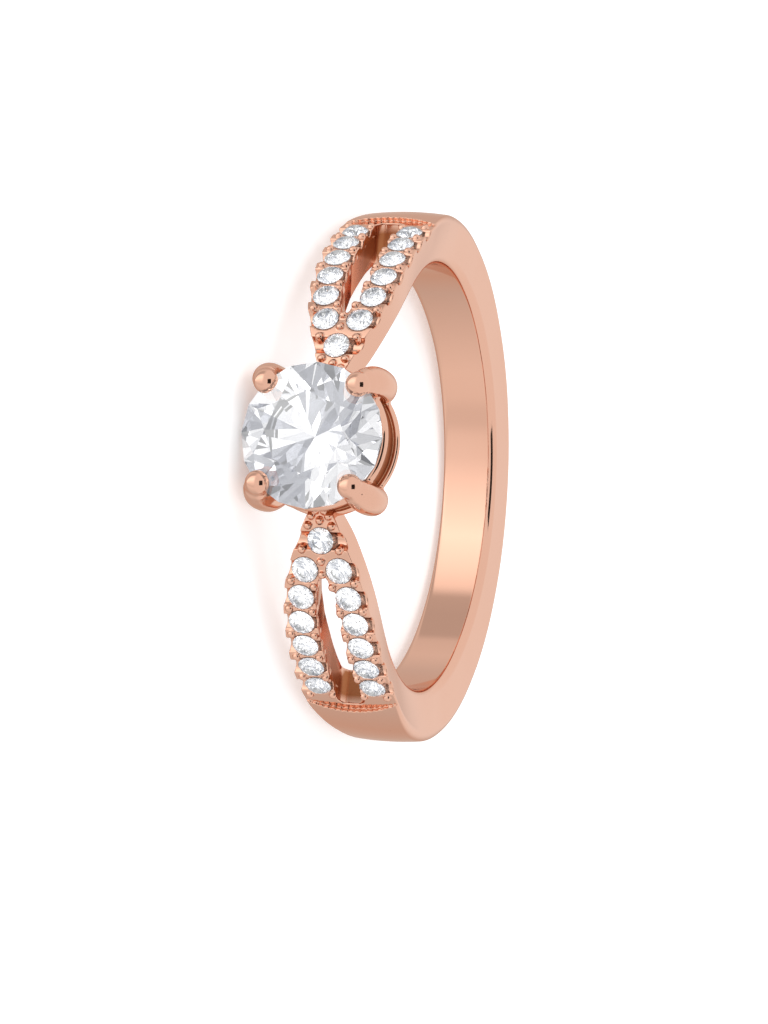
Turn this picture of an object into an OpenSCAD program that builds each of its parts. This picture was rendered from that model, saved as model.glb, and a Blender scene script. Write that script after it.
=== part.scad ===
// Split shank solitaire ring: a round centre stone in a four-claw basket, and a band that opens
// on each shoulder into two strands set with small round stones. It lies on its side.
// All lengths are in millimetres and all angles in degrees.
// In the ring's own frame the finger axis is Z, the centre stone faces -Y, and "angle" is counted
// round the finger axis from the centre stone towards the shank's back.

/* [Band] */
// Radius of the finger hole
finger_r = 8.25; // [7:0.05:10.5]
// Wall of the band beside the finger, at the top of its domed outside
wall_t = 2.03; // [1.8:0.01:2.3]
// How far the outside's own centre lies behind the finger hole's
outside_shift = 0.25; // [0.15:0.01:0.35]
// Radius of the dome across the band
dome_r = 12; // [11:0.5:16]
// Half width of the band at its back
back_w = 1.1; // [0.9:0.05:1.3]

/* [Shoulders] */
// How far the stone-set surface lies under the band's dome, at the band's side
recess_d = 0.25; // [0.2:0.01:0.3]
// How much nearer the finger the stone-set surface runs at the centre stone
recess_fall = 0.5; // [0.3:0.05:0.6]
// Angle at the middle of a shoulder's cut surfaces
shoulder_mid = 50; // [46:1:54]
// Angle where the raised step ends the stone-set surface, at the middle of the band
step_angle = 70; // [69:0.5:72]
// How much wider the slot gets for each millimetre towards the finger, as a share of its width
slot_flare = 0.4; // [0.2:0.05:0.45]

/* [Accent stones] */
// Diameter of an accent stone
accent_d = 1.02; // [0.9:0.01:1.02]
// How far an accent stone's girdle lies under the metal's surface
accent_sink = 0.01; // [0:0.01:0.04]
// Radius of the small round beads that hold the accent stones
bead_r = 0.14; // [0.12:0.01:0.15]
// Distance of a bead from the line through the stones of its row
bead_offset = 0.46; // [0.46:0.01:0.48]
// Radius of the scallop cut through a strand beside each stone
scallop_r = 0.3; // [0.24:0.01:0.34]
// Height of a scallop's middle over the stone-set surface
scallop_rise = 0.04; // [0:0.01:0.08]

/* [Centre stone] */
// Diameter of the centre stone
centre_d = 5.52; // [5.2:0.02:5.6]
// Height of the centre stone's girdle over the finger axis
girdle_h = 10.9; // [10.8:0.05:11.1]

/* [Basket] */
// Height of the upper rail over the finger axis
upper_rail_h = 10.2; // [10.1:0.05:10.3]
// Height of the lower rail over the finger axis
lower_rail_h = 8.85; // [8.8:0.05:8.95]
// Radius of the upper rail, to the middle of its wire
upper_rail_r = 2.54; // [2.5:0.01:2.56]
// Radius of the lower rail, to the middle of its wire
lower_rail_r = 2.64; // [2.62:0.01:2.66]
// Radius of the upper rail's wire
upper_wire_r = 0.22; // [0.2:0.01:0.24]
// Radius of the lower rail's wire
lower_wire_r = 0.14; // [0.13:0.01:0.16]
// Outside radius of the thin collar between the two rails
collar_r = 2.54; // [2.53:0.01:2.56]
// Wall of the collar
collar_wall = 0.16; // [0.14:0.01:0.18]

/* [Claws] */
// Radius of a claw's round tip
claw_tip_r = 0.45; // [0.4:0.01:0.48]
// Radius of a claw at its elbow
claw_elbow_r = 0.6; // [0.52:0.01:0.62]
// Radius of a claw at its foot
claw_foot_r = 0.38; // [0.34:0.01:0.42]

/* [Clearances] */
// Gap between an accent stone and the metal
accent_gap = 0.02; // [0.01:0.005:0.03]
// Gap between the centre stone and the metal
centre_gap = 0.03; // [0.02:0.005:0.04]

/* [Hidden] */
$fn = 96;
SIDES = ["left", "right"];
STRANDS = ["upper", "lower"];

// Half width of the band: angle, width at the finger hole, width at the outside
BAND_ANGLE = 0;
BAND_INNER = 1;
BAND_OUTER = 2;
BAND_ROWS = [
    [12, 0.10, 0.16],
    [15, 0.29, 0.42],
    [18, 0.58, 0.66],
    [22, 0.92, 0.92],
    [26, 1.12, 1.18],
    [30, 1.28, 1.44],
    [35, 1.43, 1.64],
    [40, 1.52, 1.75],
    [46, 1.55, 1.82],
    [52, 1.52, 1.86],
    [60, 1.45, 1.88],
    [67, 1.40, 1.86],
    [75, 1.36, 1.74],
    [90, 1.30, 1.50],
    [110, 1.20, 1.29],
    [135, 1.12, 1.16],
    [160, back_w, back_w + 0.01],
    [180, back_w, back_w]
];

// Half width of the slot between two strands: angle, width
SLOT_ROWS = [
    [30.8, 0.03],
    [31.7, 0.09],
    [33.5, 0.16],
    [36, 0.25],
    [41, 0.36],
    [47, 0.41],
    [53, 0.43],
    [60, 0.44],
    [68, 0.44]
];

// Accent stones of one strand, from the centre stone outwards: angle, distance from the middle of the band.
// The first stone is shared by both strands.
STONE_ANGLE = 0;
STONE_ACROSS = 1;
STONE_ROWS = [
    [22.4, 0], [29.2, 0.68], [35.8, 0.94], [42.2, 1.07], [48.6, 1.10], [55.0, 1.10], [61.4, 1.09]
];

// Extra beads on one shoulder, at the two ends of its rows: angle, distance from the middle of the band
EXTRA_BEADS = [
    [17.8, 0], [19.0, 0.47], [19.0, -0.47], [27.1, 0], [30.2, 0]
];

// Path of a claw from its tip to its foot: height over the girdle, distance from the basket's axis,
// wire radius
CLAW_HEIGHT = 0;
CLAW_REACH = 1;
CLAW_RADIUS = 2;
CLAW_ROWS = [
    [0.49, 2.63, claw_tip_r],
    [0.46, 2.76, claw_tip_r - 0.01],
    [0.34, 2.87, claw_elbow_r - 0.12],
    [0.12, 2.93, claw_elbow_r - 0.06],
    [-0.20, 2.96, claw_elbow_r - 0.02],
    [-0.60, 2.98, claw_elbow_r],
    [-1.10, 3.00, claw_elbow_r],
    [-1.60, 2.97, claw_elbow_r - 0.01],
    [-2.00, 2.84, claw_elbow_r - 0.07],
    [-2.25, 2.68, claw_elbow_r - 0.15],
    [-2.42, 2.52, claw_foot_r]
];
CLAW_ANGLES = [43.5, 136.5, 223.5, 316.5];
CLAW_SIDES = 14;

outside_r = finger_r + wall_t;
dome_centre = outside_r - dome_r;
pave_r = outside_r - recess_d - recess_fall;
step_r = (outside_r - outside_shift * cos(step_angle)) * sin(step_angle - shoulder_mid);
accent_r = accent_d / 2;
centre_r = centre_d / 2;
last_stone = len(STONE_ROWS) - 1;
band_start = BAND_ROWS[0][BAND_ANGLE];
shoulder_end = 90;
shoulder_sections = 26;
shank_sections = 24;
measured_r = 9.9;
envelope_in = finger_r - 1.2;
envelope_out = outside_r + 1.8;
far = 20;
seam_turn = 200;
recess_front = shoulder_mid - 4;
slot_low = 0.8 * finger_r;
slot_high = outside_r + 0.6;
slot_level = outside_r - 0.5;
cone_gap_share = 1.4;
tip_cover = 0.01;

// Proportions of a round brilliant, as shares of its girdle radius
table_share = 0.56;
star_share = 0.79;
crown_share = 0.31;
girdle_share = 0.045;
pavilion_share = 0.86;
lower_half_share = 0.24;

// Rest on the side: the lower rail and the band's back rim both touch the surface
back_rim_r = outside_shift + dome_centre + sqrt(dome_r * dome_r - back_w * back_w);
rest_run = back_rim_r + lower_rail_h;
rest_rise = lower_rail_r - back_w;
rest_tilt = atan2(rest_rise, rest_run) + asin(lower_wire_r / norm([rest_run, rest_rise]));
rest_lift = back_w * cos(rest_tilt) + back_rim_r * sin(rest_tilt);
claw_low = sin(CLAW_ANGLES[0]) * sin(rest_tilt);
front_y = -max([
    for (row = CLAW_ROWS)
        (girdle_h + row[CLAW_HEIGHT]) * cos(rest_tilt) + row[CLAW_REACH] * claw_low + row[CLAW_RADIUS]
]);
back_y = (outside_shift + dome_centre) * cos(rest_tilt) + dome_r;
middle_y = (front_y + back_y) / 2;

// Name of the node of one accent stone: number 0 is the stone that both strands share
function stone_node(side, strand, i) =
    i == 0 ? str("accent_", side, "_tip") : str("accent_", side, "_", strand, "_", i);

ACCENTS = [
    for (side = SIDES) each [
        [side, STRANDS[0], 0],
        for (strand = STRANDS) for (i = [1 : last_stone]) [side, strand, i]
    ]
];

// Distance of the stone-set surface from the finger axis, at an angle
function pave_at(angle) =
    recess_fall * sin(angle) + sqrt(pave_r * pave_r - pow(recess_fall * cos(angle), 2));

// Value of a column of the band's table at an angle, with the corners between its rows softened
function column(angle, index) =
    let (table = [for (row = BAND_ROWS) [row[BAND_ANGLE], row[index]]], soft = 2)
    (lookup(angle - soft, table) + 2 * lookup(angle, table) + lookup(angle + soft, table)) / 4;

// Half width of the band at an angle round either side and at a distance from the finger axis
function half_width(angle, r) =
    let (a = angle > 180 ? 360 - angle : angle, inner = column(a, BAND_INNER), outer = column(a, BAND_OUTER))
    inner + (outer - inner) * (r - finger_r) / (measured_r - finger_r);

// Point of the ring: angle, distance from the finger axis, distance from the band's middle
function ring_point(angle, r, across) = [r * sin(angle), -r * cos(angle), across];

// Place between stones i and i + 1 of a row, moved off the row's line: angle and distance across
function between(i, off) =
    let (
        from = STONE_ROWS[min(i, last_stone - 1)],
        to = STONE_ROWS[min(i, last_stone - 1) + 1],
        start = STONE_ROWS[i],
        mm_per_degree = pave_at(from[STONE_ANGLE]) * PI / 180,
        step = [(to[STONE_ANGLE] - from[STONE_ANGLE]) * mm_per_degree, to[STONE_ACROSS] - from[STONE_ACROSS]],
        aside = [-step[1], step[0]] / norm(step)
    )
    [
        start[STONE_ANGLE] + (step[0] / 2 + off * aside[0]) / mm_per_degree,
        start[STONE_ACROSS] + step[1] / 2 + off * aside[1]
    ];

// Ring lying on its side, its lowest point at z = 0 and its box centred on the z axis
module at_rest() {
    translate([0, -middle_y, rest_lift]) rotate([-rest_tilt, 0, 0]) children();
}

// The right shoulder as it is, or mirrored to the left
module on_side(side) {
    mirror([side == "left" ? 1 : 0, 0, 0]) children();
}

// Place on the right shoulder, with z away from the finger axis and y towards growing angles
module on_shoulder(angle, r, across) {
    translate(ring_point(angle, r, across)) rotate([0, 90, angle - 90]) children();
}

// Place in the basket: z away from the finger, x across the shoulders, y along the finger axis
module in_basket() {
    rotate([90, 0, 0]) children();
}

// Place of accent stone i on the right shoulder, in the upper or the lower strand
module at_accent(strand, i) {
    row = STONE_ROWS[i];
    across = strand == "lower" ? -row[STONE_ACROSS] : row[STONE_ACROSS];
    on_shoulder(row[STONE_ANGLE], pave_at(row[STONE_ANGLE]) - accent_sink, across) children();
}

// Round brilliant of a given radius: z = 0 at the middle of its girdle, table towards +z
module brilliant(r) {
    girdle_z = girdle_share * r / 2;
    table_z = girdle_z + crown_share * r;
    culet_z = -girdle_z - pavilion_share * r;
    star_x = star_share * r * cos(22.5);
    star_z = girdle_z + (r - star_x) / (r - table_share * r) * (table_z - girdle_z);
    half_x = lower_half_share * r * cos(22.5);
    half_z = culet_z + half_x / r * (-girdle_z - culet_z);
    points = [
        for (k = [0 : 7]) [table_share * r * cos(45 * k), table_share * r * sin(45 * k), table_z],
        for (k = [0 : 7]) [star_share * r * cos(45 * k + 22.5), star_share * r * sin(45 * k + 22.5), star_z],
        for (k = [0 : 15]) [r * cos(22.5 * k), r * sin(22.5 * k), girdle_z],
        for (k = [0 : 15]) [r * cos(22.5 * k), r * sin(22.5 * k), -girdle_z],
        for (k = [0 : 7])
            [lower_half_share * r * cos(45 * k + 22.5), lower_half_share * r * sin(45 * k + 22.5), half_z],
        [0, 0, culet_z]
    ];
    star = 8;
    upper = 16;
    under = 32;
    half = 48;
    culet = 56;
    faces = [
        [for (k = [7 : -1 : 0]) k],
        for (k = [0 : 7])
        let (n = (k + 1) % 8, p = (k + 7) % 8, e = 2 * k, o = 2 * k + 1, f = (2 * k + 2) % 16) each [
            [k, n, star + k],
            [k, star + k, upper + e, star + p],
            [star + k, upper + o, upper + e],
            [star + k, upper + f, upper + o],
            [upper + e, upper + o, under + o, under + e],
            [upper + o, upper + f, under + f, under + o],
            [half + k, under + e, under + o],
            [half + k, under + o, under + f],
            [culet, half + p, under + e, half + k]
        ]
    ];
    polyhedron(points, faces, convexity = 2);
}

// Room for a round brilliant: its outline turned round its axis, a gap larger all over and with a
// straight rim
module stone_room(r, gap, rim) {
    girdle_z = girdle_share * r / 2;
    rotate_extrude() polygon([
        [0, -girdle_z - pavilion_share * r - cone_gap_share * gap],
        [r + gap, -girdle_z - gap / 2],
        [r + gap, girdle_z + rim],
        [table_share * r + gap / 2, girdle_z + rim + crown_share * r + gap],
        [0, girdle_z + rim + crown_share * r + gap]
    ]);
}

// Tube along a path with a radius at each point, closed at both ends
module swept_tube(path, radii, sides) {
    last = len(path) - 1;
    function along(i) = let (d = path[min(i + 1, last)] - path[max(i - 1, 0)]) d / norm(d);
    points = [
        for (i = [0 : last]) for (j = [0 : sides - 1])
            let (t = along(i), u = [0, 1, 0], v = cross(t, u), a = 360 * j / sides)
                path[i] + radii[i] * (cos(a) * u + sin(a) * v)
    ];
    faces = [
        [for (j = [0 : sides - 1]) j],
        for (i = [0 : last - 1]) for (j = [0 : sides - 1])
            let (n = (j + 1) % sides) each [
                [i * sides + j, (i + 1) * sides + n, i * sides + n],
                [i * sides + j, (i + 1) * sides + j, (i + 1) * sides + n]
            ],
        [for (j = [sides - 1 : -1 : 0]) last * sides + j]
    ];
    polyhedron(points, faces, convexity = 4);
}

// Strip between two radial walls that follow the band's half width, from one angle to another
module side_walls(from, to, count) {
    points = [
        for (i = [0 : count]) let (angle = from + (to - from) * i / count)
            for (corner = [[envelope_in, -1], [envelope_out, -1], [envelope_out, 1], [envelope_in, 1]])
                ring_point(angle, corner[0], corner[1] * half_width(angle, corner[0]))
    ];
    faces = [
        [3, 2, 1, 0],
        for (i = [0 : count - 1]) for (k = [0 : 3]) let (n = (k + 1) % 4, at = 4 * i) each [
            [at + n, at + 4 + k, at + k],
            [at + 4 + n, at + 4 + k, at + n]
        ],
        [4 * count, 4 * count + 1, 4 * count + 2, 4 * count + 3]
    ];
    polyhedron(points, faces, convexity = 6);
}

// Domed band of full width between two angles, open at the finger hole, its seam inside the shank
module domed_band(from, to, count) {
    difference() {
        intersection() {
            translate([0, outside_shift, 0]) rotate([0, 0, seam_turn])
            rotate_extrude($fn = 180) intersection() {
                translate([dome_centre, 0]) circle(r = dome_r);
                translate([envelope_in, -far / 2]) square([far, far]);
            }
            side_walls(from, to, count);
        }
        translate([0, 0, -far / 2]) cylinder(r = finger_r, h = far, $fn = 180);
    }
}

// What is cut away over the stones of a shoulder, up to the raised step
module recess() {
    reach = outside_r * sin(recess_front);
    difference() {
        on_shoulder(shoulder_mid, 0, 0) {
            cylinder(r = step_r, h = far);
            translate([-step_r, -reach, 0]) cube([2 * step_r, reach, far]);
        }
        translate([recess_fall, 0, -far / 2]) cylinder(r = pave_r, h = far, $fn = 180);
    }
}

// Leaf-shaped slot between the two strands of a shoulder, wider towards the finger
module slot() {
    near = [for (row = SLOT_ROWS) [row[1], measured_r * sin(row[0] - shoulder_mid)]];
    back = [for (i = [len(near) - 1 : -1 : 0]) [-near[i][0], near[i][1]]];
    outline = concat(near, back);
    sides = len(outline);
    points = [
        for (level = [slot_low, slot_high]) for (corner = outline)
            [corner[0] * (1 + slot_flare * (slot_level - level)), corner[1], level]
    ];
    faces = [
        [for (j = [0 : sides - 1]) j],
        for (j = [0 : sides - 1]) let (n = (j + 1) % sides) each [
            [j, sides + n, n],
            [j, sides + j, sides + n]
        ],
        [for (j = [sides - 1 : -1 : 0]) sides + j]
    ];
    on_shoulder(shoulder_mid, 0, 0) polyhedron(points, faces, convexity = 4);
}

// Scallops cut through the strands' walls beside the stones
module scallops() {
    for (side = [0, 1]) mirror([0, 0, side]) for (i = [0 : last_stone]) {
        row = STONE_ROWS[i];
        start = i < 2 ? row[STONE_ACROSS] : row[STONE_ACROSS] - 1.5 * accent_r;
        translate(ring_point(row[STONE_ANGLE], pave_at(row[STONE_ANGLE]) + scallop_rise, start))
            cylinder(r = scallop_r, h = 2 * accent_r + row[STONE_ACROSS] - start, $fn = 24);
    }
}

// One bead: a short round post with a rounded top
module bead() {
    rotate_extrude($fn = 24) polygon([
        [0, -2 * bead_r],
        [bead_r, -2 * bead_r],
        [bead_r, 0.25 * bead_r],
        [0.75 * bead_r, 0.75 * bead_r],
        [0.3 * bead_r, bead_r],
        [0, bead_r]
    ]);
}

// Round beads that hold the stones of a shoulder
module beads() {
    rows = [
        for (i = [0 : last_stone]) for (side = [-1, 1])
            if (i > 0 || side > 0) between(i, side * bead_offset)
    ];
    mirrored = [for (spot = rows) [spot[0], -spot[1]]];
    for (spot = concat(rows, mirrored, EXTRA_BEADS))
        on_shoulder(spot[0], pave_at(spot[0]), spot[1]) bead();
}

// Plain back half of the band
module shank() {
    domed_band(shoulder_end, 360 - shoulder_end, shank_sections);
}

// Right shoulder with its slot, beads and the room for its stones
module shoulder() {
    difference() {
        union() {
            difference() {
                domed_band(band_start, shoulder_end, shoulder_sections);
                recess();
                slot();
                scallops();
            }
            beads();
        }
        at_accent(STRANDS[0], 0) stone_room(accent_r, accent_gap, 2 * accent_sink);
        for (strand = STRANDS)
            for (i = [1 : last_stone])
                at_accent(strand, i) stone_room(accent_r, accent_gap, 2 * accent_sink);
    }
}

// Two round rails under the centre stone, and the thin collar that joins them
module rails() {
    in_basket() {
        for (rail = [[upper_rail_h, upper_rail_r, upper_wire_r], [lower_rail_h, lower_rail_r, lower_wire_r]])
            translate([0, 0, rail[0]]) rotate_extrude() translate([rail[1], 0]) circle(r = rail[2], $fn = 32);
        translate([0, 0, lower_rail_h]) rotate_extrude()
            translate([collar_r - collar_wall, 0]) square([collar_wall, upper_rail_h - lower_rail_h]);
    }
}

// Four claws that rise from the rails and curl over the centre stone's edge
module claws() {
    path = [for (row = CLAW_ROWS) [row[CLAW_REACH], 0, girdle_h + row[CLAW_HEIGHT]]];
    radii = [for (row = CLAW_ROWS) row[CLAW_RADIUS]];
    in_basket() for (angle = CLAW_ANGLES) rotate([0, 0, angle]) {
        swept_tube(path, radii, CLAW_SIDES);
        translate(path[0]) sphere(r = claw_tip_r + tip_cover, $fn = 32);
    }
}

// Basket of rails and claws with the room for the centre stone
module basket() {
    difference() {
        union() {
            rails();
            claws();
        }
        in_basket() translate([0, 0, girdle_h]) stone_room(centre_r, centre_gap, centre_gap / 2);
    }
}

// Shank, shoulders and basket, soldered into one
module mounting() {
    color("#dba58c") at_rest() {
        shank();
        for (side = SIDES) on_side(side) shoulder();
        basket();
    }
}

module centre_stone() {
    color("#eef2f8") at_rest() in_basket() translate([0, 0, girdle_h]) brilliant(centre_r);
}

module accent_stone(accent) {
    color("#eef2f8") at_rest() on_side(accent[0]) at_accent(accent[1], accent[2]) brilliant(accent_r);
}

mounting();
centre_stone();
for (accent = ACCENTS) {
    accent_stone(accent);
}
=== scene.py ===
# %% [markdown]
# # A split-shank solitaire ring
# The real ring is cast in rose gold and polished. Its band opens on each shoulder into two strands set with
# small round stones, and a basket of two rails and four claws holds the large stone.
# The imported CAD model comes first, because its frame says where everything is. The stones are used as they
# are, since their flat facets are right, and the metal gets a finer skin, because polish shows every corner.

# %% Open the frame
import math

import bpy
import numpy as np
from mathutils import Matrix, Vector


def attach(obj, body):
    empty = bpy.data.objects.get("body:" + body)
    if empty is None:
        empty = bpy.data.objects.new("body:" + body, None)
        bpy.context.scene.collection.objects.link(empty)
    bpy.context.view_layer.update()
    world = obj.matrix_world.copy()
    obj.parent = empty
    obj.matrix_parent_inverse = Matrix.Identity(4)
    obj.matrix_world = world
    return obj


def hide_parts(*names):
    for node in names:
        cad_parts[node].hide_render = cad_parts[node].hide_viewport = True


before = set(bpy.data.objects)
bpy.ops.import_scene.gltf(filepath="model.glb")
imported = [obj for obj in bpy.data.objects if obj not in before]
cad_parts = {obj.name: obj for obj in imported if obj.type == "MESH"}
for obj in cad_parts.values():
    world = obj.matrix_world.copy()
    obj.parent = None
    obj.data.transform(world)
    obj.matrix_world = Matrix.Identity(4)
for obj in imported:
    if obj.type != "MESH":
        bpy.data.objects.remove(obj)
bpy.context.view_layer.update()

# %% [markdown]
# ## Two frames
# A ring is easiest to think of round its finger axis: the axis is z, the large stone faces -y, and an angle
# counts from that stone towards the back. The finished ring lies on its side instead, tipped a few degrees
# so that its lower rail and its back both touch the table. So all shapes are made in millimetres in the
# ring's own frame, and one function lays them down.

# %% Lay the ring down
MM = 0.001
REST_TILT = math.radians(4.96887)
REST_LIFT = 2.00354
MIDDLE_Y = -0.709238


def turn_to_rest(vectors):
    """Directions of the ring's own frame, turned to how the ring lies."""
    x, y, z = np.asarray(vectors, float).T
    cosine, sine = math.cos(REST_TILT), math.sin(REST_TILT)
    return np.column_stack([x, y * cosine + z * sine, z * cosine - y * sine])


def lay_down(points):
    """Points of the ring's own frame in millimetres, as metres where the ring lies."""
    return MM * (turn_to_rest(points) + (0, -MIDDLE_Y, REST_LIFT))


print("ring centre", np.round(lay_down([[0, 0, 0]])[0] / MM, 3), "mm")

# %% [markdown]
# ## Shapes as distance fields
# A cast and polished ring has no sharp corner anywhere: each edge is rolled over a little, and each joint is
# filled by solder. Bevels on a mesh with stones, beads and slots are hard to keep clean. A distance field
# gives them for nothing: it is a function that is negative inside the metal and positive outside, cutting is
# a maximum, joining is a minimum, and softer versions of the two round the corners.

# %% Join and cut fields
def soft_cut(a, b, soft):
    """Maximum of two fields, blended over a width of soft."""
    overlap = np.maximum(soft - np.abs(a - b), 0) / soft
    return np.maximum(a, b) + overlap * overlap * soft / 4


def soft_join(a, b, soft):
    """Minimum of two fields, blended over a width of soft."""
    return -soft_cut(-a, -b, soft)


def rolled_edge(a, b, radius):
    """Where two faces meet, their edge rolled over at a radius."""
    corner = np.hypot(np.maximum(a + radius, 0), np.maximum(b + radius, 0))
    return np.minimum(np.maximum(a, b), -radius) + corner


print("rolled edge half way round:", round(float(rolled_edge(-0.1, -0.1, 0.3)), 3))

# %% [markdown]
# ## The band's own sizes
# The band is narrow at its back, widens to the shoulders and closes to a point under the large stone. Its
# half width is a short table, which is smoothed before use: a corner in the table would show as a kink in
# the reflections.

# %% The band's widths
FINGER_R, WALL = 8.25, 2.03
OUTSIDE_R = FINGER_R + WALL
OUTSIDE_SHIFT = 0.25
DOME_R = 12.0
DOME_CENTRE = OUTSIDE_R - DOME_R
MEASURED_R = 9.9
BACK_W = 1.1
BAND_ROWS = np.array([
    # angle, half width at the finger hole, half width at the outside
    [0, 0.02, 0.02], [12, 0.10, 0.16], [15, 0.29, 0.42], [18, 0.58, 0.66], [22, 0.92, 0.92],
    [26, 1.12, 1.18], [30, 1.28, 1.44], [35, 1.43, 1.64], [40, 1.52, 1.75], [46, 1.55, 1.82],
    [52, 1.52, 1.86], [60, 1.45, 1.88], [67, 1.40, 1.86], [75, 1.36, 1.74], [90, 1.30, 1.50],
    [110, 1.20, 1.29], [135, 1.12, 1.16],
    [160, BACK_W, BACK_W + 0.01], [180, BACK_W, BACK_W], [200, BACK_W, BACK_W + 0.01],
])
ANGLES = np.arange(0, 180.01, 0.25)
WIDTH_SPREAD = 1.6


def smoothed(rows, column, spread):
    """A column of a table at every quarter degree, softened over a spread of degrees."""
    reach = np.linspace(-3, 3, 25)
    weights = np.exp(-reach * reach / 2)
    moved = [np.abs(ANGLES + spread * s) for s in reach]
    shifted = [w * np.interp(at, rows[:, 0], rows[:, column]) for w, at in zip(weights, moved)]
    return np.sum(shifted, axis=0) / weights.sum()


INNER_W = smoothed(BAND_ROWS, 1, WIDTH_SPREAD)
OUTER_W = smoothed(BAND_ROWS, 2, WIDTH_SPREAD)
print("widest", round(2 * OUTER_W.max(), 2), "mm, at the back", round(2 * OUTER_W[-1], 2), "mm")

# %% [markdown]
# ## Where the stones and beads sit
# The stone-set surface lies a little lower than the polished band and runs nearer the finger towards the
# large stone. Stones follow one another at about their own diameter, and each pair shares a round bead on
# either side, which the setter raises from the metal and pushes over both stones' edges. Next to the basket
# there is no room for another stone, so a few beads fill the tip.

# %% Places of the stones and beads
RECESS_DEPTH, RECESS_FALL = 0.25, 0.5
PAVE_R = OUTSIDE_R - RECESS_DEPTH - RECESS_FALL
SHOULDER_MID = math.radians(50)
STEP_ANGLE = math.radians(70)
STEP_R = (OUTSIDE_R - OUTSIDE_SHIFT * math.cos(STEP_ANGLE)) * math.sin(STEP_ANGLE - SHOULDER_MID)
ACCENT_R, ACCENT_SINK = 0.51, 0.01
# Places of the stones and of the beads that no pair of stones shares: angle, distance across the band
STONES = np.array([
    [22.4, 0], [29.2, 0.68], [35.8, 0.94], [42.2, 1.07], [48.6, 1.10], [55.0, 1.10], [61.4, 1.09],
])
BEAD_OFFSET = 0.46
LONE_BEADS = [[17.8, 0], [19.0, 0.47], [27.1, 0], [30.2, 0], [15.6, 0.16], [16.8, 0.34]]


def pave_at(angle):
    """Distance of the stone-set surface from the finger axis."""
    a = np.radians(angle)
    return RECESS_FALL * np.sin(a) + np.sqrt(PAVE_R ** 2 - (RECESS_FALL * np.cos(a)) ** 2)


def ring_point(angle, r, across):
    """A point of the ring from its angle, its distance from the axis and its distance across the band."""
    a = math.radians(angle)
    return np.array([r * math.sin(a), -r * math.cos(a), across])


def beside(i, off):
    """Half way from stone i to the next one, moved off the row's line: angle and distance across."""
    pair = min(i, len(STONES) - 2)
    mm_per_degree = pave_at(STONES[pair, 0]) * math.pi / 180
    step = (STONES[pair + 1] - STONES[pair]) * (mm_per_degree, 1)
    aside = np.array([-step[1], step[0]]) / np.linalg.norm(step)
    return STONES[i] + (step / 2 + off * aside) / (mm_per_degree, 1)


BEADS = [beside(i, side * BEAD_OFFSET) for i in range(len(STONES)) for side in (-1, 1) if i or side > 0]
BEADS += [np.array(spot) for spot in LONE_BEADS]
print(len(STONES), "stones and", len(BEADS), "beads on one half of a shoulder")

# %% [markdown]
# ## Cuts in the shoulders
# A goldsmith saws the slot, and it widens towards the finger, which lets light in from below the strands. A
# graver flutes the face of the step, and a bur drills a seat for each stone: a cone that fits the stone's
# lower half, with a straight wall above it. The numbers here are in millimetres and degrees.

# %% Sizes of the cuts
# Half width of the slot: angle, width
SLOT = np.array([
    [30.6, 0.0], [31.7, 0.13], [33.5, 0.23], [36, 0.32], [41, 0.40], [47, 0.45], [53, 0.46], [60, 0.48],
    [68.4, 0.48],
])
SLOT_V = MEASURED_R * np.sin(np.radians(SLOT[:, 0]) - SHOULDER_MID)
# How far the band's outer edge is rolled over: angle, radius
EDGE_ROWS = np.array([[0, 0.05], [30, 0.08], [60, 0.10], [70, 0.16], [85, 0.34], [180, 0.42]])
RIM_ROLL = 0.30
FLUTES, FLUTE_DEPTH = 46, 0.05
SLOT_ROUND = 0.34
SLOT_FLARE, SLOT_LEVEL = 0.4, OUTSIDE_R - 0.5
BEAD_R, BEAD_RISE, BEAD_POST = 0.15, 0.01, 0.3
SCALLOP_R, INNER_SCALLOP_R, SCALLOP_RISE, SCALLOP_OFF = 0.34, 0.27, 0.05, 0.25
SEAT_GAP = 0.015
GIRDLE_SHARE, PAVILION_SHARE = 0.045, 0.86
BAND_START = math.radians(12)
FEATURE_REACH, SET_REACH, SET_DEPTH = 7.0, 14, 0.6
SEAT_BLEND, STEP_BLEND, SCALLOP_BLEND, SLOT_BLEND = 0.03, 0.05, 0.06, 0.07


def seat(height, radius, stone_r, gap):
    """The room that a bur cuts for a round stone: a cone under the girdle and a straight wall above it."""
    girdle = GIRDLE_SHARE * stone_r / 2
    deep = girdle + PAVILION_SHARE * stone_r + 1.4 * gap
    wide = stone_r + gap
    rise = deep - girdle
    cone = (radius * rise - wide * (height + deep)) / math.hypot(rise, wide)
    return np.maximum(radius - wide, cone)


print("middle of a small stone's seat, field:", round(float(seat(0, 0, ACCENT_R, SEAT_GAP)), 3), "mm")

# %% [markdown]
# ## The band's metal
# Everything on the band is the same on both sides of the finger's plane and of the stone's plane, so the
# field looks only at |x| and |z|: one quarter is described and four appear. The order is the setter's own:
# the plain band, the recess with its curved step, the slot, the scallops beside the stones, the seats, and
# at last the beads.

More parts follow.
